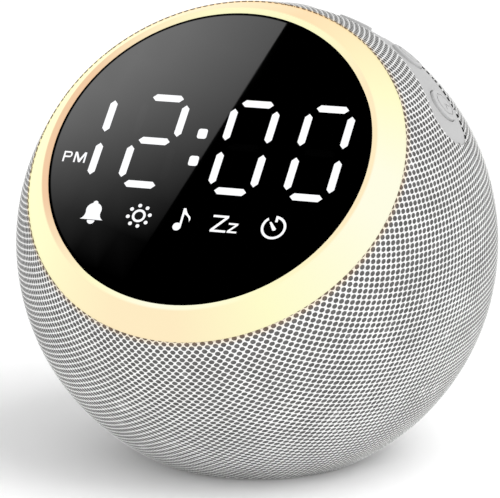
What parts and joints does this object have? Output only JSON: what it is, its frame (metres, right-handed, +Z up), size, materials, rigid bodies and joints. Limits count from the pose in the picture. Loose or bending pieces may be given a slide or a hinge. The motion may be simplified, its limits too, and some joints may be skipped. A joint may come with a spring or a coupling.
{
  "type": "alarm clock",
  "caption": "Ball-shaped bedside alarm clock in white mesh cloth: tilted round LED display in a glowing ring, a curved row of push keys behind it, small loudspeaker and USB-C power socket.",
  "frame": {"origin": "on the table, under the middle of the ball", "axes": "+Z up, +Y towards the loudspeaker at the back, so the display faces -Y; +X to the display's right"},
  "size_m": [0.106, 0.1059, 0.1001],
  "materials": {
    "cloth": "white spacer mesh",
    "shell_plastic": "moulded",
    "white_plastic": "fine matt",
    "diffuser": "translucent, lit",
    "black_gloss": "gloss",
    "lit_white": "lit",
    "white_reflector": "moulded",
    "circuit_board": "solder mask",
    "led": "clear gel",
    "black_plastic": "moulded",
    "rubber": "matt",
    "steel": "zinc plated",
    "magnet": "ferrite",
    "copper": "enamelled wire",
    "paper_cone": "pressed pulp",
    "foam": "rubber roll",
    "aluminium_can": "bare",
    "wire": "insulation",
    "grey_rubber": "matt"
  },
  "bodies": {
    "clock": {"cloth_cover": "cloth", "front_shell": "shell_plastic", "rear_shell": "shell_plastic", "button_plate": "white_plastic", "light_ring": "diffuser", "display_lens": "black_gloss", "display_light_block": "white_reflector", "lit_segments": "lit_white", "dark_segments": "black_gloss", "colon_dots": "lit_white", "pm_mark": "lit_white", "status_signs": "lit_white", "display_board": "circuit_board", "segment_leds": "led", "display_screws": "steel", "lens_gasket": "grey_rubber", "display_connector": "white_plastic", "ring_carrier": "white_reflector", "ring_led_board": "circuit_board", "ring_leds": "led", "ring_screws": "steel", "tact_switches": "black_plastic", "key_flex_board": "circuit_board", "key_bracket": "white_plastic", "bracket_screws": "steel", "speaker_frame": "steel", "speaker_top_plate": "steel", "speaker_magnet": "magnet", "speaker_yoke": "steel", "speaker_surround": "foam", "speaker_spider": "foam", "speaker_screws": "steel", "port_panel": "black_plastic", "usb_socket": "steel", "port_board": "circuit_board", "shell_screws": "steel", "base_plate": "white_plastic", "base_screws": "steel", "board_screws": "steel", "rubber_foot": "rubber", "main_board": "circuit_board", "board_chips": "black_plastic", "board_capacitors": "aluminium_can", "board_connectors": "white_plastic", "cell_holder": "black_plastic", "coin_cell": "steel", "speaker_leads": "wire", "power_leads": "wire", "display_ribbon": "white_plastic"},
    "volume_down_key": {"volume_down_key": "white_plastic"},
    "volume_up_key": {"volume_up_key": "white_plastic"},
    "sound_key": {"sound_key": "white_plastic"},
    "snooze_key": {"snooze_key": "white_plastic"},
    "alarm_key": {"alarm_key": "white_plastic"},
    "power_key": {"power_key": "white_plastic"},
    "timer_key": {"timer_key": "white_plastic"},
    "speaker_cone": {"speaker_cone": "paper_cone", "dust_cap": "paper_cone", "voice_coil": "copper"}
  },
  "joints": [
    {"name": "volume_down_press", "type": "slide", "parent": "clock", "child": "volume_down_key", "axis": [0.7827, -0.0612, -0.6194], "range_m": [0, 0.0006], "stiffness_N_per_m": 1500},
    {"name": "volume_up_press", "type": "slide", "parent": "clock", "child": "volume_up_key", "axis": [0.5819, -0.2057, -0.7868], "range_m": [0, 0.0006], "stiffness_N_per_m": 1500},
    {"name": "sound_press", "type": "slide", "parent": "clock", "child": "sound_key", "axis": [0.3216, -0.3014, -0.8976], "range_m": [0, 0.0006], "stiffness_N_per_m": 1500},
    {"name": "snooze_press", "type": "slide", "parent": "clock", "child": "snooze_key", "axis": [0, -0.3387, -0.9409], "range_m": [0, 0.0006], "stiffness_N_per_m": 1500},
    {"name": "alarm_press", "type": "slide", "parent": "clock", "child": "alarm_key", "axis": [-0.3216, -0.3014, -0.8976], "range_m": [0, 0.0006], "stiffness_N_per_m": 1500},
    {"name": "power_press", "type": "slide", "parent": "clock", "child": "power_key", "axis": [-0.5819, -0.2057, -0.7868], "range_m": [0, 0.0006], "stiffness_N_per_m": 1500},
    {"name": "timer_press", "type": "slide", "parent": "clock", "child": "timer_key", "axis": [-0.7827, -0.0612, -0.6194], "range_m": [0, 0.0006], "stiffness_N_per_m": 1500},
    {"name": "speaker_stroke", "type": "slide", "parent": "clock", "child": "speaker_cone", "axis": [0, 1, 0], "range_m": [-0.0008, 0.0008], "stiffness_N_per_m": 900, "deforming": ["speaker_surround", "speaker_spider"]}
  ]
}
